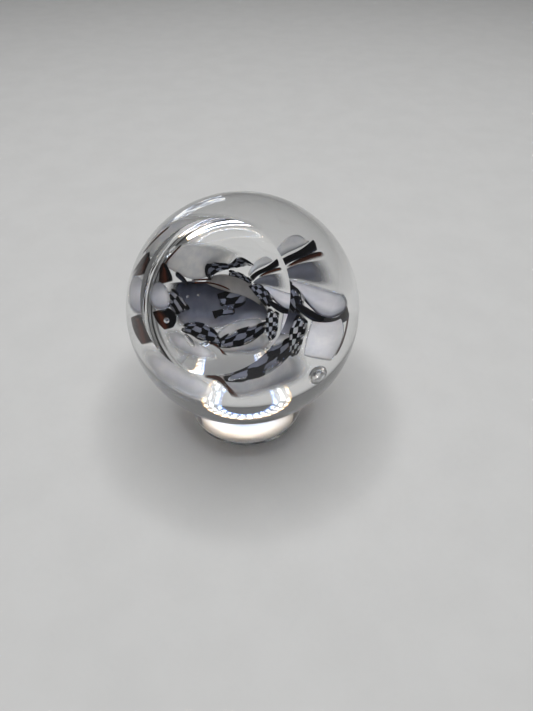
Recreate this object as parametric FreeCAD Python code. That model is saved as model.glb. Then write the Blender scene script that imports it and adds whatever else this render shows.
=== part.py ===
import FreeCAD, Part
import math
import os

# A solid glass ball paperweight with one polished window facet. Coloured glass lies inside it:
# white sheets, grey veils, black bands, brown chips and checkered canes. The ball rests loose
# on a short clear tube.
#
# Millimetres. +Z is up, +X is to the right and -Y is to the front, where the facet looks.
# The origin is on the table, at the centre of the tube's lower rim.

# ---- driving dimensions ----
BALL_R = 40.0

RING_OUTER_R = 22.5
RING_WALL = 3.0
RING_H = 13.4
RING_CHAMFER = 0.4
SEAT_CLEARANCE = 0.1

FACET_AZIMUTH = -19.0       # degrees from straight ahead, negative to the left
FACET_ELEVATION = 44.3      # degrees above the horizon
FACET_DEPTH = 7.3           # how much of the ball's radius is ground away

SHEET = 0.7                 # thickness of a white sheet
VEIL = 0.5                  # thickness of a grey veil
BAND = 0.9                  # thickness of a black band
CANE = 1.0                  # thickness of a flattened checkered cane
CHIP = 1.8                  # thickness of a brown chip
THREAD_R = 0.35             # radius of a drawn glass thread

RING_INNER_R = RING_OUTER_R - RING_WALL
CENTRE_Z = RING_H + math.sqrt(BALL_R ** 2 - RING_INNER_R ** 2)
CENTRE = FreeCAD.Vector(0, 0, CENTRE_Z)


# ---- shape helpers ----
def inside(place):
    """A place in the ball, given from the ball's centre."""
    return CENTRE + FreeCAD.Vector(*place)


def sheet(thickness, *rows):
    """A curved sheet of glass: a smooth surface through rows of places, made thick."""
    surface = Part.BSplineSurface()
    surface.interpolate([[inside(place) for place in row] for row in rows])
    face = surface.toShape()
    u_low, u_high, v_low, v_high = face.ParameterRange
    normal = FreeCAD.Vector(0, 0, 0)
    for u_step in (0.25, 0.5, 0.75):
        for v_step in (0.25, 0.5, 0.75):
            u = u_low + u_step * (u_high - u_low)
            v = v_low + v_step * (v_high - v_low)
            normal += face.normalAt(u, v)
    normal.normalize()
    face.translate(normal * (-thickness / 2))
    return face.extrude(normal * thickness)


def thread(radius, *places):
    """A thin round thread of glass along a smooth line."""
    curve = Part.BSplineCurve()
    curve.interpolate([inside(place) for place in places])
    path = Part.Wire([curve.toShape()])
    start = curve.value(curve.FirstParameter)
    direction = curve.tangent(curve.FirstParameter)[0]
    circle = Part.Wire([Part.makeCircle(radius, start, direction)])
    return path.makePipeShell([circle], True, True)


def bubble(radius, place):
    """A round pocket of trapped air."""
    return Part.makeSphere(radius, inside(place))


def long_bubble(radius, half_length, place, direction):
    """An oval pocket of trapped air, drawn out along a direction."""
    stretch = FreeCAD.Matrix()
    stretch.scale(1, 1, half_length / radius)
    oval = Part.makeSphere(radius).transformGeometry(stretch)
    turn = FreeCAD.Rotation(FreeCAD.Vector(0, 0, 1), FreeCAD.Vector(*direction))
    oval.Placement = FreeCAD.Placement(inside(place), turn)
    return oval


# ---- white sheets ----
def white_sheet_upper_left():
    return sheet(
        SHEET,
        [(-19.5, 12.5, 15.5), (-12, 16, 14.5), (-3.5, 18.5, 10.5), (4.5, 19.5, 7.5)],
        [(-21.5, 11, 12.5), (-14, 13, 8.5), (-7, 16.5, 5), (2.5, 19, 4.5)],
        [(-23.5, 9.5, 9.5), (-15.5, 10.5, 3.5), (-9, 14, 1), (1.5, 18, 2.5)],
    )


def white_oval_left():
    return sheet(
        SHEET,
        [(-28.5, 4, 6), (-25.5, 5.3, 6.5), (-22, 5, 4.5)],
        [(-29, 1.5, 2.5), (-25, 2, 3), (-21, 2.5, 2)],
        [(-27.5, -3.8, 2.3), (-24, -4, 1), (-21, -2.3, 1.2)],
    )


def white_sheet_lower_left():
    return sheet(
        SHEET,
        [(-26, -2.5, -7.5), (-18.5, 0, -10.5), (-11.5, 0, -16.5), (-5.2, 0.5, -20)],
        [(-23.5, -4.5, -10), (-17.5, -3, -14.5), (-10, -2.5, -19), (-4.5, -1.5, -21.7)],
        [(-21.5, -6.5, -13.5), (-17, -5.5, -18.5), (-10, -5, -21.5), (-4, -3.5, -22.8)],
    )


def white_bowl():
    return sheet(
        SHEET,
        [(-6.5, 4.5, -18.5), (-1.5, 7.5, -15), (5, 7.5, -12.5), (11, 5, -10.5)],
        [(-5, 4, -22), (1, 5, -21), (7, 4.5, -17.5), (13, 2, -13.5)],
        [(-3, 3.5, -24.5), (0, 1, -23.5), (7.5, -3, -19.5), (15.5, -5, -15.5)],
    )


def white_lobe_right():
    return sheet(
        SHEET,
        [(8.5, 12, -1.5), (12, 12, -2), (16.5, 11.5, -3.5), (20.5, 9.5, -3)],
        [(11.5, 9, -1.5), (14.5, 7.5, -2.5), (18, 6.5, -3.5), (22.5, 5.5, -2.5)],
        [(13.5, 6, -2), (16, 3.5, -3), (19, 1.5, -3), (23, 2, -2)],
    )


def white_panel_right():
    return sheet(
        SHEET,
        [(16.7, -4, -1), (19.5, -3.5, -2), (23.2, -2, -2)],
        [(16, -8, -2.7), (19, -7.5, -4), (24, -6.5, -4)],
        [(15.3, -10.7, -5), (17.5, -11, -5.5), (22.2, -11, -6.5)],
    )


def white_horn():
    return sheet(
        SHEET,
        [(5.5, 14, 2.5), (8, 16, 5.5), (10.5, 16, 7.5), (13, 15, 7.5)],
        [(6, 13, 2), (8.5, 14.5, 4), (11, 14.5, 5.5), (13.5, 14.5, 7)],
    )


# ---- black bands and streaks ----
def black_band_right():
    return sheet(
        BAND,
        [(12.5, 3.5, -1), (16, 1.5, -2), (19.5, 0.5, -3), (23.5, 1, -1.5)],
        [(12.5, 2, -1.5), (16, -0.5, -2.5), (19.5, -1.5, -3), (24, -1, -2.5)],
    )


def black_band_horn():
    return sheet(
        BAND,
        [(6, 12.5, 2), (9, 14, 3.5), (11.5, 14, 5), (14.5, 14.5, 7.5)],
        [(7, 12, 0.5), (10, 13.5, 2.5), (13, 13.5, 4), (15.5, 13.5, 5.5)],
    )


def black_streak_upper_left():
    return sheet(
        BAND,
        [(-19.5, 8.5, 8.5), (-17, 8.5, 6), (-15, 8, 2.5)],
        [(-20, 7.5, 6.5), (-18, 7.5, 4.5), (-16, 7.5, 2)],
    )


# ---- brown chips, brown bands and drawn threads ----
def brown_chip_upper_left():
    return sheet(
        CHIP,
        [(-24, 4.5, 14), (-25, 6, 9.5), (-25.5, 8.3, 3)],
        [(-23, 4.5, 14), (-21.5, 7, 9), (-20.5, 8.2, 4.3)],
    )


def brown_chip_lower_left():
    return sheet(
        CHIP,
        [(-27.5, -2.5, -0.5), (-26, -3, -4), (-23.5, -3.3, -7.3)],
        [(-22, -1, 0), (-19.5, -1.5, -3), (-20.5, -3.3, -6.8)],
    )


def brown_band_horn():
    return sheet(
        VEIL,
        [(9, 13.5, 1.5), (11, 14, 2.5), (13.5, 14.5, 3.5), (16.5, 14, 4.5)],
        [(9, 13, 1), (11, 13.5, 1.5), (13.5, 14, 2), (17.5, 14, 3.5)],
    )


def brown_edge_upper_left():
    return thread(THREAD_R, (-24, 9, 9.5), (-21, 10, 13.5), (-17.5, 11, 17))


def brown_edge_lower():
    return sheet(
        VEIL,
        [(-9, 4, -20), (-6.5, 3.5, -20), (-5, 2.5, -20.5), (-3, 0.5, -23)],
        [(-9, 4.3, -20.8), (-7, 3.4, -21.3), (-4.5, 2, -21.8), (-0.8, -0.7, -22.8)],
    )


def brown_thread_upper():
    return thread(THREAD_R, (-14.5, 11, 2), (-11, 12.5, 1), (-7, 14, 0))


def brown_thread_lower():
    return thread(THREAD_R, (-14.5, 11, 0.5), (-8.5, 12, 0), (-0.5, 12, -3.5))


def brown_edge_right():
    return thread(THREAD_R, (24.6, 2, -2), (25.2, -2, -2.5), (25.2, -6.5, -4), (23.4, -11, -6.5))


# ---- grey veils ----
def grey_veil_centre():
    return sheet(
        VEIL,
        [(-21, 10.5, 1), (-14, 12.5, -0.5), (-6, 16, -5), (3, 16, -8), (10.5, 11.5, -7)],
        [(-21, 6, -2.5), (-13, 9.5, -7), (-4, 13.6, -11.5), (5, 13.1, -12.5), (12.5, 8.5, -10.5)],
        [(-18, 1, -10), (-11.5, 4.5, -14), (-3.5, 8.5, -17.3), (5, 9.5, -15.8), (11.5, 6.5, -12.5)],
    )


def grey_veil_right():
    return sheet(
        VEIL,
        [(7.5, 12.5, 0), (10, 13.5, 1), (13.5, 14, 1.5), (17.5, 14, 2.5)],
        [(8, 12.5, -0.5), (11, 13, 0), (15, 13, -0.5), (19, 13, -0.5)],
        [(8, 13.2, -1.7), (11.5, 12.8, -2.2), (15.5, 12.8, -3.7), (19.5, 12.8, -4.7)],
    )


def grey_plane_upper():
    return sheet(
        VEIL,
        [(-8, 15.5, -0.5), (-0.5, 16, 0), (7, 13, -1.5), (11.5, 7.5, -4)],
        [(-9.5, 14.5, -2), (-2, 13.5, -5), (5, 11.3, -6), (10.5, 6.5, -7)],
    )


# ---- checkered canes ----
def check_cane_left():
    return sheet(
        CANE,
        [(-25, 4, 1), (-22.5, 2.5, -2), (-20.5, 1, -5)],
        [(-20.5, 7, 1.5), (-17.5, 6.5, -2), (-15, 4.5, -5)],
    )


def check_cane_lower_left():
    return sheet(
        CANE,
        [(-16.5, 0.5, -8.5), (-12.5, 2.5, -9.5), (-8.5, 3, -11.5), (-5, 2.5, -15.5)],
        [(-17.5, -1.5, -10), (-13, -1, -13.5), (-9, -0.5, -16), (-4, 0.5, -18)],
    )


def check_cane_lower_right():
    return sheet(
        CANE,
        [(-4.5, 2.5, -17.5), (0, 3.5, -15), (6, 3, -12), (11, 1.5, -8.5)],
        [(-4, 1, -20), (1, 0, -19), (7, -1, -15), (11, -1, -10.5)],
    )


def check_cane_centre():
    return sheet(
        CANE,
        [(-4.5, 13.6, -6.5), (0.5, 14.6, -6), (6, 13.6, -5)],
        [(-3.5, 11.6, -10), (0.5, 11.1, -10.5), (4, 11.1, -9)],
    )


def check_cane_centre_low():
    return sheet(
        CANE,
        [(-6.5, 9.8, -11.1), (-3.5, 10.3, -10.7), (0.5, 10.3, -10.5)],
        [(-5.5, 8.3, -13.1), (-3, 8.8, -12.1), (0.5, 8.8, -11.6)],
    )


def check_cane_upper_curl():
    return sheet(
        CANE,
        [(4.5, 14, 8), (0, 14.5, 7), (-4.5, 14.5, 6.5), (-8, 14.5, 6.5), (-9.5, 13.2, 4.7)],
        [(4.5, 13.5, 6), (0, 13.5, 5), (-4, 13, 4.5), (-6, 13, 3.5), (-7, 12.5, 2)],
    )


def check_cane_upper():
    return sheet(
        CANE,
        [(-1, 15, 3), (3, 14.5, 2), (6.5, 12.5, 0.5)],
        [(-1, 14.5, 1), (2.5, 13.5, 0.5), (6, 12, -1)],
    )


def check_cane_diagonal():
    return sheet(
        CANE,
        [(5.5, 10.5, -0.5), (8, 7.5, -2), (11.5, 3.5, -4)],
        [(9, 10.5, 0.5), (12, 7, 0), (13.5, 3.5, -2)],
    )


def check_cane_right():
    return sheet(
        CANE,
        [(12, 2, -3.5), (11, -2.5, -4), (11, -6.5, -5.5), (11.5, -10, -6)],
        [(15, -3, -1), (14.5, -5.5, -2), (14, -9, -3.3), (13, -10.5, -5.2)],
    )


INCLUSIONS = [
    white_sheet_upper_left, white_oval_left, white_sheet_lower_left, white_bowl,
    white_lobe_right, white_panel_right, white_horn,
    black_band_right, black_band_horn, black_streak_upper_left,
    brown_chip_upper_left, brown_chip_lower_left, brown_band_horn, brown_edge_upper_left,
    brown_edge_lower, brown_thread_upper, brown_thread_lower, brown_edge_right,
    grey_veil_centre, grey_veil_right, grey_plane_upper,
    check_cane_left, check_cane_lower_left, check_cane_lower_right, check_cane_centre,
    check_cane_centre_low, check_cane_upper_curl, check_cane_upper, check_cane_diagonal,
    check_cane_right,
]


# ---- air trapped in the clear glass ----
def air_bubbles():
    return [
        bubble(2.8, (20, -17.5, -8)),
        bubble(1.0, (-22.5, -6.5, -0.5)),
        long_bubble(0.9, 2.6, (-14.8, -12.8, -3.7), (0.62, -0.54, -0.57)),
        bubble(0.4, (-15.5, -1, 5)),
        bubble(0.4, (-12, -1, 5.5)),
    ]


# ---- the clear ball and the tube it rests on ----
def facet_normal():
    azimuth = math.radians(FACET_AZIMUTH)
    elevation = math.radians(FACET_ELEVATION)
    forward = math.cos(elevation)
    return FreeCAD.Vector(
        forward * math.sin(azimuth),
        -forward * math.cos(azimuth),
        math.sin(elevation),
    )


def clear_ball(fillings):
    """The ball with its facet ground off and a pocket round each filling."""
    ball = Part.makeSphere(BALL_R, CENTRE)
    normal = facet_normal()
    facet_centre = CENTRE + normal * (BALL_R - FACET_DEPTH)
    waste = Part.makeCylinder(BALL_R, BALL_R, facet_centre, normal)
    return ball.cut(waste).cut(fillings)


def ring_stand():
    """A short clear tube whose upper inner rim is ground to the ball's curve."""
    outer = Part.makeCylinder(RING_OUTER_R, RING_H)
    rims = [edge for edge in outer.Edges if edge.Closed]
    outer = outer.makeChamfer(RING_CHAMFER, rims)
    tube = outer.cut(Part.makeCylinder(RING_INNER_R, RING_H))
    seat = Part.makeSphere(BALL_R + SEAT_CLEARANCE, CENTRE)
    return tube.cut(seat)


def main():
    os.makedirs("parts", exist_ok=True)
    pieces = {make.__name__: make() for make in INCLUSIONS}
    pieces["clear_ball"] = clear_ball(list(pieces.values()) + air_bubbles())
    pieces["ring_stand"] = ring_stand()
    for name, shape in pieces.items():
        shape.exportStep("parts/" + name + ".step")


main()
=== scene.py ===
import math

import bmesh
import bpy
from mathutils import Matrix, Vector


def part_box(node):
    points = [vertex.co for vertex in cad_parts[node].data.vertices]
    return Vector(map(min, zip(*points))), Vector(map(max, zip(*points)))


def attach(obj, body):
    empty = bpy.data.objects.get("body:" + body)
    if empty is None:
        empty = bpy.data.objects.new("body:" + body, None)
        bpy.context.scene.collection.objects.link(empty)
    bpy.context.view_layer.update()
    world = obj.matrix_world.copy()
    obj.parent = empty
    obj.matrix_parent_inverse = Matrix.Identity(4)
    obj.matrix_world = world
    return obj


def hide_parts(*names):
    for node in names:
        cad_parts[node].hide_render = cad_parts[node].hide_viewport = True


# A clear glass ball with coloured glass inside, on a clear ring stand. Sizes of the ball and the
# ring follow the frame. Places in the ball are in millimetres from the ball's centre, and
# everything handed to Blender is in metres.

MM = 0.001

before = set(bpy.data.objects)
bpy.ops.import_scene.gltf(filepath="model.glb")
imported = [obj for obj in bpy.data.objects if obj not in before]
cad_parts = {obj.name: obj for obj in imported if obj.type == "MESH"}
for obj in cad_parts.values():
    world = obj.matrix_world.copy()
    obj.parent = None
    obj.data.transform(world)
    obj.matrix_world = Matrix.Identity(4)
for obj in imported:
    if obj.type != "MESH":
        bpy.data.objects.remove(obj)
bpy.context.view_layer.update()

# ---- sizes read from the frame ----
ball_low, ball_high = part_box("clear_ball")
ring_low, ring_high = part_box("ring_stand")
BALL_R = (ball_high.z - ball_low.z) / 2
CENTRE = Vector((0, 0, (ball_high.z + ball_low.z) / 2))
RING_OUTER_R = (ring_high.x - ring_low.x) / 2
RING_H = ring_high.z - ring_low.z
RING_WALL = 3.0 * MM
SEAT_CLEARANCE = 0.1 * MM
SEAT_R = BALL_R + SEAT_CLEARANCE
RIM_ROUNDING = 0.4 * MM
SKIN = 0.01 * MM            # how far the drawn ball stays inside its CAD solid

FACET_AZIMUTH = math.radians(-19.0)
FACET_ELEVATION = math.radians(44.3)
FACET_DEPTH = 7.3 * MM

# ---- thickness of each kind of coloured glass, in millimetres ----
SHEET = 0.7
VEIL = 0.5
BAND = 0.9
CANE = 1.0
CHIP = 1.8
THREAD_R = 0.3

# ---- colours of the glass ----
# The whites, greys and blue-greys below also serve as lit and shaded tones of the one white glass: on the
# white sheets they paint light and shade, bright where light falls and grey where it falls less.
BRIGHT = (0.90, 0.90, 0.885)
WHITE = (0.78, 0.78, 0.78)
MILK = (0.60, 0.61, 0.63)
PALE_GREY = (0.38, 0.39, 0.42)
BLUE_GREY = (0.23, 0.245, 0.30)
SMOKE = (0.14, 0.15, 0.19)
SLATE = (0.085, 0.092, 0.125)
NAVY = (0.030, 0.034, 0.050)
BLACK = (0.006, 0.006, 0.008)
AMBER = (0.34, 0.17, 0.10)
BROWN = (0.095, 0.026, 0.013)
DARK_BROWN = (0.030, 0.012, 0.008)
PLANE_GREYS = ((0.30, 0.29, 0.28), (0.40, 0.39, 0.38))

# ---- the clear materials: bend of light, tint, deeper tint and wear of the polish ----
CASING_GLASS = (1.52, (0.962, 0.966, 0.964), (0.940, 0.946, 0.944), 0.02)
RING_ACRYLIC = (1.49, (0.98, 0.985, 0.985), (0.955, 0.965, 0.96), 0.05)


# ---- node material helpers ----
def new_material(name):
    material = bpy.data.materials.new(name)
    material.use_nodes = True
    tree = material.node_tree
    return material, tree, tree.nodes["Principled BSDF"]


def node(tree, kind, settings=None, **values):
    """One node, with its settings and the values of its named inputs."""
    made = tree.nodes.new(kind)
    for key, value in (settings or {}).items():
        setattr(made, key, value)
    for key, value in values.items():
        made.inputs[key.replace("_", " ")].default_value = value
    return made


def feed(tree, socket, value):
    """A link or a plain value into a socket."""
    if hasattr(value, "is_output"):
        tree.links.new(value, socket)
    elif isinstance(value, tuple):
        socket.default_value = (*value, 1.0)
    else:
        socket.default_value = value


def noise(tree, scale, detail=4.0, roughness=0.55):
    """Noise fixed to the object. Scale is in waves per metre."""
    place = node(tree, "ShaderNodeTexCoord")
    made = node(tree, "ShaderNodeTexNoise", Scale=scale, Detail=detail, Roughness=roughness)
    tree.links.new(place.outputs["Object"], made.inputs["Vector"])
    return made.outputs["Fac"]


def ramp(tree, value, *stops):
    """Colours over a value from 0 to 1. Each stop is (position, colour)."""
    made = node(tree, "ShaderNodeValToRGB")
    made.color_ramp.interpolation = "EASE"
    while len(made.color_ramp.elements) < len(stops):
        made.color_ramp.elements.new(0.5)
    for element, (position, colour) in zip(made.color_ramp.elements, stops):
        element.position = position
        element.color = (*colour, 1.0)
    tree.links.new(value, made.inputs["Fac"])
    return made.outputs["Color"]


def calc(tree, operation, *values):
    """One arithmetic step on links or plain numbers."""
    made = node(tree, "ShaderNodeMath", {"operation": operation})
    for socket, value in zip(made.inputs, values):
        feed(tree, socket, value)
    return made.outputs[0]


def rescale(tree, value, low, high, new_low=0.0, new_high=1.0):
    """A value eased from one range to another, and held at its ends."""
    made = node(tree, "ShaderNodeMapRange", {"interpolation_type": "SMOOTHSTEP"})
    for socket, entry in zip(made.inputs, (value, low, high, new_low, new_high)):
        feed(tree, socket, entry)
    return made.outputs["Result"]


def mix_colour(tree, factor, first, second, blend="MIX"):
    made = node(tree, "ShaderNodeMix", {"data_type": "RGBA", "blend_type": blend})
    feed(tree, made.inputs["Factor"], factor)
    feed(tree, made.inputs[6], first)
    feed(tree, made.inputs[7], second)
    return made.outputs[2]


def sheet_place(tree):
    """How far along and how far across a sheet, each from 0 to 1."""
    uv = node(tree, "ShaderNodeTexCoord").outputs["UV"]
    parts = node(tree, "ShaderNodeSeparateXYZ")
    tree.links.new(uv, parts.inputs[0])
    return parts.outputs["X"], parts.outputs["Y"]


def thinning(tree, along, across, fades, waver):
    """Cover that thins out towards the start, end, top and bottom of a sheet."""
    rest_along = calc(tree, "SUBTRACT", 1.0, along)
    rest_across = calc(tree, "SUBTRACT", 1.0, across)
    cover = 1.0
    for distance, width in zip((along, rest_along, across, rest_across), fades):
        if width > 0:
            moved = calc(tree, "MULTIPLY_ADD", calc(tree, "SUBTRACT", waver, 0.5), width * 0.7, distance)
            cover = calc(tree, "MULTIPLY", cover, rescale(tree, moved, 0.0, width))
    return cover


# ---- materials ----
def clear_material(name, ior, tint, deep_tint, wear):
    """Clear glass or acrylic: faint streaks of tint and faint wiping marks in its polish."""
    material, tree, shader = new_material(name)
    shader.inputs["Transmission Weight"].default_value = 1.0
    shader.inputs["IOR"].default_value = ior
    colour = ramp(tree, noise(tree, 30.0), (0.35, deep_tint), (0.65, tint))
    tree.links.new(colour, shader.inputs["Base Color"])
    polish = ramp(tree, noise(tree, 90.0), (0.45, (0, 0, 0)), (0.8, (wear, wear, wear)))
    tree.links.new(polish, shader.inputs["Roughness"])
    return material


def drawn_glass(name, stops, fades, cover=1.0):
    """Coloured glass drawn out in a sheet: its tone runs across it, clouded, and its rims thin out. On the
    white sheets that run of tone is painted shade.
    """
    material, tree, shader = new_material(name)
    along, across = sheet_place(tree)
    soft = noise(tree, 90.0, detail=2.0)
    fine = noise(tree, 360.0, detail=3.0)
    drift = calc(tree, "MULTIPLY_ADD", calc(tree, "SUBTRACT", soft, 0.5), 0.45, across)
    # on the white sheets this ramp paints shade: grey and blue-grey where less light falls
    tone_and_shade = ramp(tree, drift, *stops)
    streak = ramp(tree, fine, (0.25, (0.86, 0.87, 0.90)), (0.7, (1.0, 1.0, 1.0)))
    tree.links.new(mix_colour(tree, 1.0, tone_and_shade, streak, "MULTIPLY"), shader.inputs["Base Color"])
    thin = thinning(tree, along, across, fades, soft)
    tree.links.new(calc(tree, "MULTIPLY", thin, cover), shader.inputs["Alpha"])
    shader.inputs["Roughness"].default_value = 0.35
    shader.inputs["Specular IOR Level"].default_value = 0.0
    return material


def checkered(name, along_tiles, across_tiles, slant, ground, waver):
    """Black tiles on paler glass, with melted corners, drawn out of line."""
    material, tree, shader = new_material(name)
    along, across = sheet_place(tree)
    x = calc(tree, "MULTIPLY", along, along_tiles)
    y = calc(tree, "MULTIPLY", across, across_tiles)
    x = calc(tree, "MULTIPLY_ADD", y, slant, x)
    place = node(tree, "ShaderNodeCombineXYZ")
    tree.links.new(x, place.inputs[0])
    tree.links.new(y, place.inputs[1])
    bend = node(tree, "ShaderNodeTexNoise", Scale=0.9, Detail=2.0)
    tree.links.new(place.outputs[0], bend.inputs["Vector"])
    bends = node(tree, "ShaderNodeSeparateXYZ")
    tree.links.new(bend.outputs["Color"], bends.inputs[0])
    sides = []
    for value, shift in ((x, bends.outputs["X"]), (y, bends.outputs["Y"])):
        moved = calc(tree, "MULTIPLY_ADD", calc(tree, "SUBTRACT", shift, 0.5), waver, value)
        wave = calc(tree, "SINE", calc(tree, "MULTIPLY", moved, math.pi))
        sides.append(rescale(tree, wave, -0.5, 0.5, -1.0, 1.0))
    product = calc(tree, "MULTIPLY", *sides)
    rough_edge = noise(tree, 500.0, detail=2.0)
    product = calc(tree, "MULTIPLY_ADD", calc(tree, "SUBTRACT", rough_edge, 0.5), 0.9, product)
    black = rescale(tree, product, -0.45, -0.05)
    cloud = noise(tree, 160.0, detail=2.0)
    shade = ramp(tree, cloud, (0.3, (0.72, 0.74, 0.80)), (0.7, (1, 1, 1)))
    clouded = mix_colour(tree, 1.0, ground, shade, "MULTIPLY")
    tree.links.new(mix_colour(tree, black, clouded, BLACK), shader.inputs["Base Color"])
    soft_rim = thinning(tree, along, across, (0.16, 0.16, 0.30, 0.30), cloud)
    hard_rim = thinning(tree, along, across, (0.03, 0.03, 0.07, 0.07), rough_edge)
    black_cover = calc(tree, "MULTIPLY", black, hard_rim)
    ground_cover = calc(tree, "MULTIPLY", soft_rim, 0.92)
    cover = calc(tree, "MAXIMUM", black_cover, ground_cover)
    tree.links.new(cover, shader.inputs["Alpha"])
    shader.inputs["Roughness"].default_value = 0.3
    shader.inputs["Specular IOR Level"].default_value = 0.0
    return material


# ---- mesh helpers ----
def inside(place):
    """A place in the ball, from millimetres round its centre to metres in the frame."""
    return CENTRE + Vector(place) * MM


def weights(knots, t):
    """How much each of a few points counts at t, for the smooth line through them all."""
    result = []
    for i, own in enumerate(knots):
        product = 1.0
        for j, other in enumerate(knots):
            if i != j:
                product *= (t - other) / (own - other)
        result.append(product)
    return result


def knots_of(points):
    """Steps by distance along a row of points, from 0 to 1."""
    lengths = [0.0]
    for first, second in zip(points, points[1:]):
        lengths.append(lengths[-1] + (second - first).length)
    return [length / lengths[-1] for length in lengths]


def surface_through(rows):
    """A function from (s, t), each 0 to 1, to a place on the smooth surface through rows."""
    rows = [[inside(place) for place in row] for row in rows]
    along = knots_of(rows[len(rows) // 2])
    across = knots_of([row[len(row) // 2] for row in rows])

    def place(s, t):
        point_weights = weights(along, s)
        total = Vector((0, 0, 0))
        for row, row_weight in zip(rows, weights(across, t)):
            for point, point_weight in zip(row, point_weights):
                total += point * (row_weight * point_weight)
        return total

    return place


def finished_mesh(name, mesh):
    """Mesh data from bmesh work, with its faces turned outward."""
    bmesh.ops.recalc_face_normals(mesh, faces=mesh.faces)
    data = bpy.data.meshes.new(name)
    mesh.to_mesh(data)
    mesh.free()
    return data


def object_from(name, data):
    made = bpy.data.objects.new(name, data)
    bpy.context.scene.collection.objects.link(made)
    return made


def glass_piece(name, data, material):
    """A piece of coloured glass that rides with the ball and stands for its CAD node."""
    for polygon in data.polygons:
        polygon.use_smooth = True
    data.materials.append(material)
    made = object_from("glass_" + name, data)
    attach(made, "ball")
    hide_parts(name)


def sheet_mesh(name, rows, thickness, roundness, spread):
    """A curved sheet with thin rounded edges, and a UV map that runs along and across it."""
    place = surface_through(rows)
    count_s = 40
    count_t = 24
    half = thickness * MM / 2
    step = 0.002
    mesh = bmesh.new()
    uv_layer = mesh.loops.layers.uv.new("sheet")
    grid = {}
    for i in range(count_s + 1):
        for j in range(count_t + 1):
            a = 2 * i / count_s - 1
            b = 2 * j / count_t - 1
            s = 0.5 + 0.5 * spread * a * math.sqrt(1 - roundness * b * b / 2)
            t = 0.5 + 0.5 * spread * b * math.sqrt(1 - roundness * a * a / 2)
            point = place(s, t)
            along = place(s + step, t) - place(s - step, t)
            across = place(s, t + step) - place(s, t - step)
            swell = math.sqrt(max(0.0, 1 - max(abs(a), abs(b)) ** 10))
            lift = along.cross(across).normalized() * (half * swell)
            upper = mesh.verts.new(point + lift)
            on_rim = i in (0, count_s) or j in (0, count_t)
            lower = upper if on_rim else mesh.verts.new(point - lift)
            grid[i, j] = (upper, lower, (0.5 + 0.5 * a, 0.5 + 0.5 * b))
    for i in range(count_s):
        for j in range(count_t):
            corners = [grid[i, j], grid[i + 1, j], grid[i + 1, j + 1], grid[i, j + 1]]
            for side, ordered in ((0, corners), (1, corners[::-1])):
                face = mesh.faces.new([corner[side] for corner in ordered])
                for loop, corner in zip(face.loops, ordered):
                    loop[uv_layer].uv = corner[2]
    return finished_mesh(name, mesh)


def thread_mesh(name, places, radius):
    """A drawn thread of glass, thinning to both ends."""
    steps = 40
    sides = 12
    points = [inside(place) for place in places]
    knots = knots_of(points)

    def along(t):
        total = Vector((0, 0, 0))
        for point, weight in zip(points, weights(knots, t)):
            total += point * weight
        return total

    mesh = bmesh.new()
    uv_layer = mesh.loops.layers.uv.new("sheet")
    rings = []
    for i in range(steps + 1):
        t = i / steps
        direction = (along(t + 0.002) - along(t - 0.002)).normalized()
        side = direction.cross(Vector((0, 1, 0))).normalized()
        up = side.cross(direction)
        reach = radius * MM * math.sqrt(max(0.0004, 1 - (2 * t - 1) ** 6))
        ring = []
        for k in range(sides):
            angle = 2 * math.pi * k / sides
            offset = side * math.cos(angle) + up * math.sin(angle)
            ring.append((mesh.verts.new(along(t) + offset * reach), (t, k / sides)))
        rings.append(ring)
    for first, second in zip(rings, rings[1:]):
        for k in range(sides):
            corners = [first[k], first[k - 1], second[k - 1], second[k]]
            face = mesh.faces.new([corner[0] for corner in corners])
            for loop, corner in zip(face.loops, corners):
                loop[uv_layer].uv = corner[1]
    mesh.faces.new([corner[0] for corner in rings[0]])
    mesh.faces.new([corner[0] for corner in rings[-1][::-1]])
    return finished_mesh(name, mesh)


def lathe_mesh(name, profile, axis, base, segments, closed):
    """A surface turned round an axis. Each profile point is (radius, height)."""
    axis = axis.normalized()
    side = axis.cross(Vector((0, 0, 1)))
    if side.length < 1e-6:
        side = Vector((1, 0, 0))
    side.normalize()
    other = axis.cross(side)
    mesh = bmesh.new()
    rings = []
    for radius, height in profile:
        if radius < 1e-9:
            rings.append([mesh.verts.new(base + axis * height)])
            continue
        ring = []
        for k in range(segments):
            angle = 2 * math.pi * k / segments
            outward = side * math.cos(angle) + other * math.sin(angle)
            ring.append(mesh.verts.new(base + axis * height + outward * radius))
        rings.append(ring)
    pairs = list(zip(rings, rings[1:]))
    if closed:
        pairs.append((rings[-1], rings[0]))
    for first, second in pairs:
        for k in range(segments):
            corners = [
                first[k % len(first)],
                first[(k + 1) % len(first)],
                second[(k + 1) % len(second)],
                second[k % len(second)],
            ]
            unique = []
            for corner in corners:
                if corner not in unique:
                    unique.append(corner)
            mesh.faces.new(unique)
    return finished_mesh(name, mesh)


# ---- the clear ball ----
def facet_normal():
    forward = math.cos(FACET_ELEVATION)
    return Vector((
        forward * math.sin(FACET_AZIMUTH),
        -forward * math.cos(FACET_AZIMUTH),
        math.sin(FACET_ELEVATION),
    ))


# Each air pocket: radius, half its length, place and the way it is drawn out.
BUBBLES = [
    (2.8, 2.8, (20, -17.5, -8), (0, 0, 1)),
    (1.0, 1.0, (-22.5, -6.5, -0.5), (0, 0, 1)),
    (0.9, 2.6, (-14.8, -12.8, -3.7), (0.62, -0.54, -0.57)),
    (0.4, 0.4, (-15.5, -1, 5), (0, 0, 1)),
    (0.4, 0.4, (-12, -1, 5.5), (0, 0, 1)),
]


def add_bubble(mesh, radius, half_length, place, direction):
    """An air pocket: a small oval whose surface looks inward, to the air."""
    made = bmesh.ops.create_icosphere(mesh, subdivisions=5, radius=radius * MM)
    turn = Vector((0, 0, 1)).rotation_difference(Vector(direction))
    for vert in made["verts"]:
        vert.co.z *= half_length / radius
        vert.co = turn @ vert.co + inside(place)
    faces = {face for vert in made["verts"] for face in vert.link_faces}
    bmesh.ops.reverse_faces(mesh, faces=list(faces))


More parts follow.
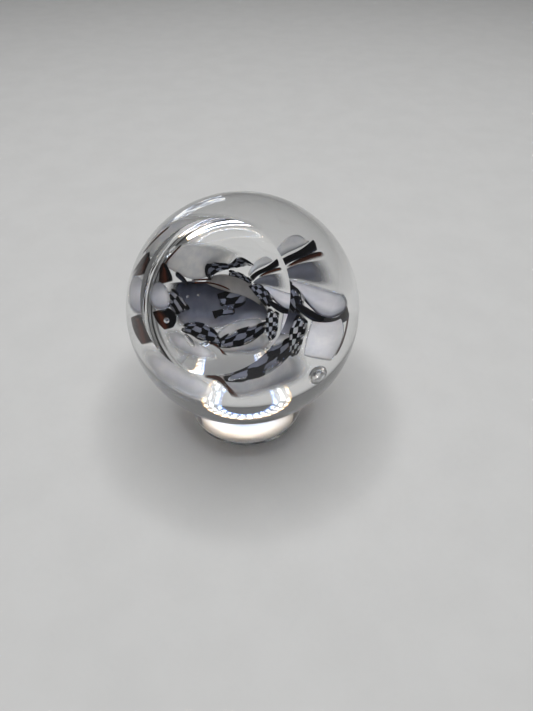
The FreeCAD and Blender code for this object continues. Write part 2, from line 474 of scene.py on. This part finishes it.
def bubble_normal(point, radius, half_length, place, direction):
    """The way into the air pocket from a point of its surface."""
    turn = Vector((0, 0, 1)).rotation_difference(Vector(direction))
    offset = turn.inverted() @ (point - inside(place))
    offset.z *= (radius / half_length) ** 2
    return -(turn @ offset).normalized()


def set_ball_normals(data, facet_height):
    """True normals: round on the ball and in the bubbles, flat on the facet."""
    flat = facet_normal()
    normals = []
    for polygon in data.polygons:
        on_facet = abs((polygon.center - CENTRE).dot(flat) - facet_height) < 1e-6
        pocket = None
        for bubble in BUBBLES:
            if (polygon.center - inside(bubble[2])).length < bubble[1] * MM * 1.05:
                pocket = bubble
        for index in polygon.loop_indices:
            point = data.vertices[data.loops[index].vertex_index].co
            if pocket:
                normals.append(bubble_normal(point, *pocket))
            elif on_facet:
                normals.append(flat)
            else:
                normals.append((point - CENTRE).normalized())
    data.normals_split_custom_set(normals)


def build_ball():
    radius = BALL_R - SKIN
    rim_angle = math.acos(1 - FACET_DEPTH / BALL_R)
    facet_height = radius * math.cos(rim_angle)
    flat_steps = 12
    arc_steps = 150
    profile = [(0.0, facet_height)]
    for step in range(1, flat_steps):
        profile.append((radius * math.sin(rim_angle) * step / flat_steps, facet_height))
    for step in range(arc_steps + 1):
        angle = rim_angle + (math.pi - rim_angle) * step / arc_steps
        profile.append((radius * math.sin(angle), radius * math.cos(angle)))
    profile[-1] = (0.0, -radius)
    data = lathe_mesh("glass_ball", profile, facet_normal(), CENTRE, 256, closed=False)
    mesh = bmesh.new()
    mesh.from_mesh(data)
    for bubble in BUBBLES:
        add_bubble(mesh, *bubble)
    mesh.to_mesh(data)
    mesh.free()
    for polygon in data.polygons:
        polygon.use_smooth = True
    set_ball_normals(data, facet_height)
    data.materials.append(clear_material("clear_casing_glass", *CASING_GLASS))
    ball = object_from("glass_ball", data)
    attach(ball, "ball")
    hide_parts("clear_ball")


# ---- the ring stand ----
def build_ring():
    inner = RING_OUTER_R - RING_WALL
    soft = RIM_ROUNDING
    profile = [(inner, soft / 2), (inner + soft / 2, 0.0), (RING_OUTER_R - soft, 0.0)]
    profile += [(RING_OUTER_R, soft), (RING_OUTER_R, RING_H - soft), (RING_OUTER_R - soft, RING_H)]
    for step in range(7):
        r = RING_OUTER_R - soft - (RING_OUTER_R - soft - inner) * step / 6
        seat = CENTRE.z - math.sqrt(SEAT_R ** 2 - r ** 2)
        profile.append((r, min(RING_H, seat)))
    profile = [point for index, point in enumerate(profile) if point not in profile[:index]]
    data = lathe_mesh("acrylic_ring", profile, Vector((0, 0, 1)), Vector((0, 0, 0)), 192, closed=True)
    for polygon in data.polygons:
        polygon.use_smooth = True
    data.set_sharp_from_angle(angle=math.radians(20))
    data.materials.append(clear_material("clear_ring_acrylic", *RING_ACRYLIC))
    ring = object_from("acrylic_ring", data)
    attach(ring, "stand")
    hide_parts("ring_stand")


# ---- coloured glass: each sheet's thickness, and the places that its surface runs through ----
SHEETS = {
    "white_sheet_upper_left": (SHEET, [
        [(-19.5, 12.5, 15.5), (-12, 16, 14.5), (-3.5, 18.5, 10.5), (4.5, 19.5, 7.5)],
        [(-21.5, 11, 12.5), (-14, 13, 8.5), (-7, 16.5, 5), (2.5, 19, 4.5)],
        [(-23.5, 9.5, 9.5), (-15.5, 10.5, 3.5), (-9, 14, 1), (1.5, 18, 2.5)],
    ]),
    "white_oval_left": (SHEET, [
        [(-28.5, 4, 6), (-25.5, 5.3, 6.5), (-22, 5, 4.5)],
        [(-29, 1.5, 2.5), (-25, 2, 3), (-21, 2.5, 2)],
        [(-27.5, -3.8, 2.3), (-24, -4, 1), (-21, -2.3, 1.2)],
    ]),
    "white_sheet_lower_left": (SHEET, [
        [(-26, -2.5, -7.5), (-18.5, 0, -10.5), (-11.5, 0, -16.5), (-5.2, 0.5, -20)],
        [(-23.5, -4.5, -10), (-17.5, -3, -14.5), (-10, -2.5, -19), (-4.5, -1.5, -21.7)],
        [(-21.5, -6.5, -13.5), (-17, -5.5, -18.5), (-10, -5, -21.5), (-4, -3.5, -22.8)],
    ]),
    "white_bowl": (SHEET, [
        [(-6.5, 4.5, -18.5), (-1.5, 7.5, -15), (5, 7.5, -12.5), (11, 5, -10.5)],
        [(-5, 4, -22), (1, 5, -21), (7, 4.5, -17.5), (13, 2, -13.5)],
        [(-3, 3.5, -24.5), (0, 1, -23.5), (7.5, -3, -19.5), (15.5, -5, -15.5)],
    ]),
    "white_lobe_right": (SHEET, [
        [(8.5, 12, -1.5), (12, 12, -2), (16.5, 11.5, -3.5), (20.5, 9.5, -3)],
        [(11.5, 9, -1.5), (14.5, 7.5, -2.5), (18, 6.5, -3.5), (22.5, 5.5, -2.5)],
        [(13.5, 6, -2), (16, 3.5, -3), (19, 1.5, -3), (23, 2, -2)],
    ]),
    "white_panel_right": (SHEET, [
        [(16.7, -4, -1), (19.5, -3.5, -2), (23.2, -2, -2)],
        [(16, -8, -2.7), (19, -7.5, -4), (24, -6.5, -4)],
        [(15.3, -10.7, -5), (17.5, -11, -5.5), (22.2, -11, -6.5)],
    ]),
    "white_horn": (SHEET, [
        [(5.5, 14, 2.5), (8, 16, 5.5), (10.5, 16, 7.5), (13, 15, 7.5)],
        [(6, 13, 2), (8.5, 14.5, 4), (11, 14.5, 5.5), (13.5, 14.5, 7)],
    ]),
    "black_band_right": (BAND, [
        [(12.5, 3.5, -1), (16, 1.5, -2), (19.5, 0.5, -3), (23.5, 1, -1.5)],
        [(12.5, 2, -1.5), (16, -0.5, -2.5), (19.5, -1.5, -3), (24, -1, -2.5)],
    ]),
    "black_band_horn": (BAND, [
        [(6, 12.5, 2), (9, 14, 3.5), (11.5, 14, 5), (14.5, 14.5, 7.5)],
        [(7, 12, 0.5), (10, 13.5, 2.5), (13, 13.5, 4), (15.5, 13.5, 5.5)],
    ]),
    "black_streak_upper_left": (BAND, [
        [(-19.5, 8.5, 8.5), (-17, 8.5, 6), (-15, 8, 2.5)],
        [(-20, 7.5, 6.5), (-18, 7.5, 4.5), (-16, 7.5, 2)],
    ]),
    "brown_chip_upper_left": (CHIP, [
        [(-24, 4.5, 14), (-25, 6, 9.5), (-25.5, 8.3, 3)],
        [(-23, 4.5, 14), (-21.5, 7, 9), (-20.5, 8.2, 4.3)],
    ]),
    "brown_chip_lower_left": (CHIP, [
        [(-27.5, -2.5, -0.5), (-26, -3, -4), (-23.5, -3.3, -7.3)],
        [(-22, -1, 0), (-19.5, -1.5, -3), (-20.5, -3.3, -6.8)],
    ]),
    "brown_band_horn": (VEIL, [
        [(9, 13.5, 1.5), (11, 14, 2.5), (13.5, 14.5, 3.5), (16.5, 14, 4.5)],
        [(9, 13, 1), (11, 13.5, 1.5), (13.5, 14, 2), (17.5, 14, 3.5)],
    ]),
    "brown_edge_lower": (VEIL, [
        [(-9, 4, -20), (-6.5, 3.5, -20), (-5, 2.5, -20.5), (-3, 0.5, -23)],
        [(-9, 4.3, -20.8), (-7, 3.4, -21.3), (-4.5, 2, -21.8), (-0.8, -0.7, -22.8)],
    ]),
    "grey_veil_centre": (VEIL, [
        [(-21, 10.5, 1), (-14, 12.5, -0.5), (-6, 16, -5), (3, 16, -8), (10.5, 11.5, -7)],
        [(-21, 6, -2.5), (-13, 9.5, -7), (-4, 13.6, -11.5), (5, 13.1, -12.5), (12.5, 8.5, -10.5)],
        [(-18, 1, -10), (-11.5, 4.5, -14), (-3.5, 8.5, -17.3), (5, 9.5, -15.8), (11.5, 6.5, -12.5)],
    ]),
    "grey_veil_right": (VEIL, [
        [(7.5, 12.5, 0), (10, 13.5, 1), (13.5, 14, 1.5), (17.5, 14, 2.5)],
        [(8, 12.5, -0.5), (11, 13, 0), (15, 13, -0.5), (19, 13, -0.5)],
        [(8, 13.2, -1.7), (11.5, 12.8, -2.2), (15.5, 12.8, -3.7), (19.5, 12.8, -4.7)],
    ]),
    "grey_plane_upper": (VEIL, [
        [(-8, 15.5, -0.5), (-0.5, 16, 0), (7, 13, -1.5), (11.5, 7.5, -4)],
        [(-9.5, 14.5, -2), (-2, 13.5, -5), (5, 11.3, -6), (10.5, 6.5, -7)],
    ]),
}

THREADS = {
    "brown_edge_upper_left": [(-24, 9, 9.5), (-21, 10, 13.5), (-17.5, 11, 17)],
    "brown_thread_upper": [(-14.5, 11, 2), (-11, 12.5, 1), (-7, 14, 0)],
    "brown_thread_lower": [(-14.5, 11, 0.5), (-8.5, 12, 0), (-0.5, 12, -3.5)],
    "brown_edge_right": [(24.6, 2, -2), (25.2, -2, -2.5), (25.2, -6.5, -4), (23.4, -11, -6.5)],
}

CANES = {
    "check_cane_left": [
        [(-25, 4, 1), (-22.5, 2.5, -2), (-20.5, 1, -5)],
        [(-20.5, 7, 1.5), (-17.5, 6.5, -2), (-15, 4.5, -5)],
    ],
    "check_cane_lower_left": [
        [(-16.5, 0.5, -8.5), (-12.5, 2.5, -9.5), (-8.5, 3, -11.5), (-5, 2.5, -15.5)],
        [(-17.5, -1.5, -10), (-13, -1, -13.5), (-9, -0.5, -16), (-4, 0.5, -18)],
    ],
    "check_cane_lower_right": [
        [(-4.5, 2.5, -17.5), (0, 3.5, -15), (6, 3, -12), (11, 1.5, -8.5)],
        [(-4, 1, -20), (1, 0, -19), (7, -1, -15), (11, -1, -10.5)],
    ],
    "check_cane_centre": [
        [(-4.5, 13.6, -6.5), (0.5, 14.6, -6), (6, 13.6, -5)],
        [(-3.5, 11.6, -10), (0.5, 11.1, -10.5), (4, 11.1, -9)],
    ],
    "check_cane_centre_low": [
        [(-6.5, 9.8, -11.1), (-3.5, 10.3, -10.7), (0.5, 10.3, -10.5)],
        [(-5.5, 8.3, -13.1), (-3, 8.8, -12.1), (0.5, 8.8, -11.6)],
    ],
    "check_cane_upper_curl": [
        [(4.5, 14, 8), (0, 14.5, 7), (-4.5, 14.5, 6.5), (-8, 14.5, 6.5), (-9.5, 13.2, 4.7)],
        [(4.5, 13.5, 6), (0, 13.5, 5), (-4, 13, 4.5), (-6, 13, 3.5), (-7, 12.5, 2)],
    ],
    "check_cane_upper": [
        [(-1, 15, 3), (3, 14.5, 2), (6.5, 12.5, 0.5)],
        [(-1, 14.5, 1), (2.5, 13.5, 0.5), (6, 12, -1)],
    ],
    "check_cane_diagonal": [
        [(5.5, 10.5, -0.5), (8, 7.5, -2), (11.5, 3.5, -4)],
        [(9, 10.5, 0.5), (12, 7, 0), (13.5, 3.5, -2)],
    ],
    "check_cane_right": [
        [(12, 2, -3.5), (11, -2.5, -4), (11, -6.5, -5.5), (11.5, -10, -6)],
        [(15, -3, -1), (14.5, -5.5, -2), (14, -9, -3.3), (13, -10.5, -5.2)],
    ],
}

# Each sheet's tone from its top to its bottom, and how wide it thins out at its
# start, end, top and bottom. On the white sheets the run of tone is painted shade:
# paler where light falls on them, grey and blue-grey on their undersides and beside the black bands.
TONES_AND_SHADE = {
    "white_sheet_upper_left": (
        [(0.0, BRIGHT), (0.85, BRIGHT), (1.0, WHITE)], (0.02, 0.50, 0.25, 0.02)),
    "white_oval_left": ([(0.0, PALE_GREY), (0.4, MILK), (1.0, BLUE_GREY)], (0.25, 0.30, 0.10, 0.25)),
    "white_sheet_lower_left": (
        [(0.0, MILK), (0.30, WHITE), (0.60, WHITE), (1.0, PALE_GREY)], (0.35, 0.35, 0.45, 0.60)),
    "white_bowl": (
        [(0.0, MILK), (0.28, BRIGHT), (0.65, BRIGHT), (1.0, BLUE_GREY)], (0.02, 0.30, 0.08, 0.35)),
    "white_lobe_right": (
        [(0.0, BLUE_GREY), (0.25, MILK), (0.60, MILK), (0.86, PALE_GREY), (1.0, NAVY)],
        (0.05, 0.06, 0.18, 0.0)),
    "white_panel_right": ([(0.0, MILK), (0.5, WHITE), (1.0, MILK)], (0.06, 0.04, 0.03, 0.06)),
    "white_horn": ([(0.0, WHITE), (0.6, WHITE), (1.0, PALE_GREY)], (0.30, 0.05, 0.08, 0.0)),
    "black_band_right": ([(0.0, SLATE), (0.25, BLACK), (0.8, BLACK), (1.0, NAVY)], (0.0, 0.0, 0.15, 0.05)),
    "black_band_horn": ([(0.0, BLACK), (0.6, BLACK), (1.0, NAVY)], (0.10, 0.0, 0.08, 0.20)),
    "black_streak_upper_left": ([(0.0, BLACK), (1.0, NAVY)], (0.10, 0.20, 0.20, 0.20)),
    "brown_chip_upper_left": (
        [(0.0, DARK_BROWN), (0.4, BROWN), (0.55, DARK_BROWN), (0.70, BLACK)], (0.05, 0.10, 0.04, 0.04)),
    "brown_chip_lower_left": (
        [(0.0, DARK_BROWN), (0.3, BROWN), (0.45, DARK_BROWN), (0.62, BLACK)], (0.05, 0.10, 0.04, 0.04)),
    "brown_band_horn": ([(0.0, DARK_BROWN), (0.4, BROWN), (1.0, AMBER)], (0.15, 0.15, 0.10, 0.60)),
    "brown_edge_lower": ([(0.0, BROWN), (0.5, BROWN), (1.0, AMBER)], (0.10, 0.15, 0.10, 0.60)),
    "grey_veil_centre": (
        [(0.0, NAVY), (0.20, SLATE), (0.50, SMOKE), (0.75, BLUE_GREY), (1.0, PALE_GREY)],
        (0.12, 0.12, 0.03, 0.15)),
    "grey_veil_right": (
        [(0.0, SMOKE), (0.35, BLUE_GREY), (0.7, BLUE_GREY), (1.0, PALE_GREY)], (0.05, 0.50, 0.05, 0.30)),
    "grey_plane_upper": ([(0.0, PLANE_GREYS[0]), (1.0, PLANE_GREYS[1])], (0.03, 0.15, 0.02, 0.02)),
}

# Each cane's tiles along and across, their slant, the glass between them and their waver.
TILES = {
    "check_cane_left": (1.8, 5.0, 0.1, PALE_GREY, 0.8),
    "check_cane_lower_left": (5.4, 3.4, 0.3, BLUE_GREY, 1.0),
    "check_cane_lower_right": (4.6, 3.2, 0.3, BLUE_GREY, 1.0),
    "check_cane_centre": (2.4, 2.6, 0.3, BLUE_GREY, 0.7),
    "check_cane_centre_low": (2.2, 1.3, 0.0, BLUE_GREY, 0.9),
    "check_cane_upper_curl": (7.0, 3.0, 0.3, SMOKE, 1.6),
    "check_cane_upper": (5.0, 3.2, 0.3, BLUE_GREY, 1.2),
    "check_cane_diagonal": (5.4, 3.4, 0.2, BLUE_GREY, 1.0),
    "check_cane_right": (6.6, 3.2, 0.2, MILK, 0.7),
}

# How round each sheet's outline is, and how far it is drawn out past its rows of places.
SHEET_ROUNDNESS = 0.15
CANE_ROUNDNESS = 0.1
SHEET_SPREAD = 1.04
CANE_SPREAD = 1.10
PLANE_COVER = 0.8
ROUNDNESS = {"white_oval_left": 0.8, "white_sheet_upper_left": 0.3, "black_streak_upper_left": 0.6}
SPREAD = {
    "grey_veil_centre": 1.14, "white_lobe_right": 1.14, "grey_veil_right": 1.14, "black_band_right": 1.25,
    "check_cane_upper_curl": 1.18, "check_cane_centre": 1.20, "check_cane_centre_low": 1.20,
    "white_panel_right": 1.22, "white_horn": 1.20, "black_band_horn": 1.10,
}


def build_coloured_glass():
    for name, (thickness, rows) in SHEETS.items():
        roundness = ROUNDNESS.get(name, SHEET_ROUNDNESS)
        data = sheet_mesh(name, rows, thickness, roundness, SPREAD.get(name, SHEET_SPREAD))
        stops, fades = TONES_AND_SHADE[name]
        cover = PLANE_COVER if name == "grey_plane_upper" else 1.0
        material = drawn_glass("drawn_" + name, stops, fades, cover)
        glass_piece(name, data, material)
    thread_glass = drawn_glass(
        "drawn_brown_thread", [(0.0, DARK_BROWN), (0.5, BROWN), (1.0, DARK_BROWN)], (0.1, 0.1, 0, 0))
    for name, places in THREADS.items():
        glass_piece(name, thread_mesh(name, places, THREAD_R), thread_glass)
    for name, rows in CANES.items():
        material = checkered("checks_" + name, *TILES[name])
        data = sheet_mesh(name, rows, CANE, CANE_ROUNDNESS, SPREAD.get(name, CANE_SPREAD))
        glass_piece(name, data, material)


# ---- floor, lamps and camera ----
FLOOR_HALF_WIDTH = 3.0
FLOOR_DROP = 0.05 * MM
FLOOR_TONES = [(0.3, (0.575, 0.575, 0.57)), (0.7, (0.595, 0.595, 0.59))]


def build_floor():
    mesh = bmesh.new()
    bmesh.ops.create_grid(mesh, x_segments=2, y_segments=2, size=FLOOR_HALF_WIDTH)
    bmesh.ops.translate(mesh, verts=mesh.verts, vec=(0, 0, -FLOOR_DROP))
    data = finished_mesh("floor", mesh)
    material, tree, shader = new_material("pale_floor")
    shade = ramp(tree, noise(tree, 40.0), *FLOOR_TONES)
    tree.links.new(shade, shader.inputs["Base Color"])
    shader.inputs["Roughness"].default_value = 0.9
    shader.inputs["Specular IOR Level"].default_value = 0.1
    data.materials.append(material)
    object_from("floor", data)


# The lamp is a round frame of bright beads overhead, which is what the glass reflects and bends.
# A ring of soft area lights, set further back, gives its light on the floor.
LAMP_CENTRE = Vector((0.007, -0.093, 1.050))
SOFT_LIGHT_SHIFT = Vector((0, 0.10, 0))
LAMP_RADIUS = 0.372
LAMP_WIDTH = 0.112
LAMP_RADIANCE = 13.9
LAMP_PARTS = 12
BEAD_ROWS = 3
BEAD_RADIANCE = 24.0
GLOW_RADIANCE = 5.0
BEAD_COLOURS = [
    (0.0, (0.25, 0.45, 1.0)),
    (0.35, (0.88, 0.94, 1.0)),
    (0.7, (1.0, 0.97, 0.92)),
    (1.0, (1.0, 0.60, 0.22)),
]
BEAD_RING_RISE = Vector((0, 0, 0.002))


def build_area_lights():
    length = 2 * LAMP_RADIUS * math.tan(math.pi / LAMP_PARTS)
    for index in range(LAMP_PARTS):
        angle = 2 * math.pi * index / LAMP_PARTS
        light = bpy.data.lights.new("ring_light_%d" % index, "AREA")
        light.shape = "RECTANGLE"
        light.size = length
        light.size_y = LAMP_WIDTH
        light.energy = LAMP_RADIANCE * math.pi * length * LAMP_WIDTH
        made = bpy.data.objects.new(light.name, light)
        made.location = LAMP_CENTRE + SOFT_LIGHT_SHIFT
        made.location += Vector((math.cos(angle), math.sin(angle), 0)) * LAMP_RADIUS
        made.rotation_euler = (0, 0, angle + math.pi / 2)
        made.visible_camera = False
        made.visible_glossy = False
        made.visible_transmission = False
        bpy.context.scene.collection.objects.link(made)


def glow_material(name):
    """A material that only glows, with its tree and its emission node."""
    material = bpy.data.materials.new(name)
    material.use_nodes = True
    material.cycles.emission_sampling = "NONE"
    tree = material.node_tree
    tree.nodes.clear()
    glow = node(tree, "ShaderNodeEmission")
    output = node(tree, "ShaderNodeOutputMaterial")
    tree.links.new(glow.outputs[0], output.inputs["Surface"])
    return material, tree, glow


def bead_glow():
    """Rows of round beads on a glowing ring, warm at its outer rim and blue at its inner."""
    material, tree, glow = glow_material("lamp_beads")
    along, across = sheet_place(tree)
    squares = []
    for value in (along, across):
        cell = calc(tree, "SUBTRACT", calc(tree, "FRACT", value), 0.5)
        squares.append(calc(tree, "MULTIPLY", cell, cell))
    distance = calc(tree, "SQRT", calc(tree, "ADD", *squares))
    bead = rescale(tree, distance, 0.42, 0.24)
    strength = calc(tree, "MULTIPLY_ADD", bead, BEAD_RADIANCE, GLOW_RADIANCE)
    colour = ramp(tree, calc(tree, "DIVIDE", across, float(BEAD_ROWS)), *BEAD_COLOURS)
    tree.links.new(colour, glow.inputs["Color"])
    tree.links.new(strength, glow.inputs["Strength"])
    return material


def build_bead_ring():
    mesh = bmesh.new()
    uv_layer = mesh.loops.layers.uv.new("beads")
    parts = 96
    beads = round(2 * math.pi * LAMP_RADIUS / LAMP_WIDTH * BEAD_ROWS)
    rows = []
    for index in range(parts):
        angle = 2 * math.pi * index / parts
        outward = Vector((math.cos(angle), math.sin(angle), 0))
        row = []
        for side in (-1, 1):
            reach = outward * (LAMP_RADIUS + side * LAMP_WIDTH / 2)
            row.append(mesh.verts.new(LAMP_CENTRE + reach + BEAD_RING_RISE))
        rows.append(row)
    for index in range(parts):
        first, second = rows[index], rows[(index + 1) % parts]
        start, end = (step * beads / parts for step in (index, index + 1))
        face = mesh.faces.new([first[0], first[1], second[1], second[0]])
        for loop, uv in zip(face.loops, ((start, 0), (start, BEAD_ROWS), (end, BEAD_ROWS), (end, 0))):
            loop[uv_layer].uv = uv
    data = bpy.data.meshes.new("bead_ring")
    mesh.to_mesh(data)
    mesh.free()
    data.materials.append(bead_glow())
    made = object_from("bead_ring", data)
    made.visible_camera = False
    made.visible_diffuse = False
    made.visible_shadow = False


# A low pale window behind the ball, which only shows as a streak on the ball's upper rim.
WINDOW_CENTRE = Vector((-0.55, 1.50, 0.24))
WINDOW_WIDTH = 0.64
WINDOW_HEIGHT = 0.46
WINDOW_RADIANCE = 3.6
WINDOW_COLOURS = [(0.35, (0.35, 0.50, 1.0)), (0.55, (0.9, 0.95, 1.0)), (0.7, (1.0, 0.9, 0.7))]


def glowing_panel(name, centre, width, height):
    """An upright panel along X that only glows, with its tree and its emission node."""
    mesh = bmesh.new()
    half = Vector((width / 2, 0, 0))
    rise = Vector((0, 0, height / 2))
    corners = (-half - rise, half - rise, half + rise, rise - half)
    mesh.faces.new([mesh.verts.new(centre + corner) for corner in corners])
    data = finished_mesh(name, mesh)
    material, tree, glow = glow_material(name)
    data.materials.append(material)
    made = object_from(name, data)
    made.visible_camera = False
    made.visible_diffuse = False
    made.visible_shadow = False
    return made, tree, glow


def build_window():
    made, tree, glow = glowing_panel("low_window", WINDOW_CENTRE, WINDOW_WIDTH, WINDOW_HEIGHT)
    panes = noise(tree, 9.0, detail=3.0)
    tree.links.new(ramp(tree, panes, *WINDOW_COLOURS), glow.inputs["Color"])
    strength = rescale(tree, panes, 0.36, 0.60, 0.0, WINDOW_RADIANCE)
    tree.links.new(strength, glow.inputs["Strength"])
    made.visible_transmission = False


# A pale wall far in front of the ball. Only light that passes through glass comes from it.
WALL_CENTRE = Vector((0.0, -1.10, 0.55))
WALL_WIDTH = 1.40
WALL_HEIGHT = 0.80
WALL_RADIANCE = 0.4


def build_pale_wall():
    made, _, glow = glowing_panel("pale_wall", WALL_CENTRE, WALL_WIDTH, WALL_HEIGHT)
    glow.inputs["Strength"].default_value = WALL_RADIANCE
    made.visible_glossy = False


ROOM_COLOUR = (0.560, 0.562, 0.565, 1)
ROOM_STRENGTH = 0.22


def build_world():
    world = bpy.data.worlds.new("pale_room")
    world.use_nodes = True
    background = world.node_tree.nodes["Background"]
    background.inputs["Color"].default_value = ROOM_COLOUR
    background.inputs["Strength"].default_value = ROOM_STRENGTH
    bpy.context.scene.world = world


CAMERA_PLACE = (0.00806, -0.14694, 0.16588)
CAMERA_LENS = 27.04
CAMERA_LOOKS_DOWN = 43.53   # degrees below the horizon


def build_camera():
    camera = bpy.data.cameras.new("camera")
    camera.lens = CAMERA_LENS
    camera.sensor_width = 36.0
    made = bpy.data.objects.new("camera", camera)
    made.location = CAMERA_PLACE
    made.rotation_euler = (math.radians(90 - CAMERA_LOOKS_DOWN), 0, 0)
    camera.clip_start = 0.005
    bpy.context.scene.collection.objects.link(made)
    bpy.context.scene.camera = made


GLASS_BOUNCES = 64


def set_light_paths():
    """Enough bounces for light to cross the glass several times."""
    cycles = bpy.context.scene.cycles
    cycles.max_bounces = GLASS_BOUNCES
    cycles.transmission_bounces = GLASS_BOUNCES
    cycles.transparent_max_bounces = 32
    cycles.glossy_bounces = 10
    cycles.sample_clamp_indirect = 0.0
    cycles.blur_glossy = 0.0
    bpy.context.scene.view_settings.view_transform = "Standard"


build_camera()
build_ball()
build_ring()
build_coloured_glass()
build_floor()
build_area_lights()
build_bead_ring()
build_window()
build_pale_wall()
build_world()
set_light_paths()
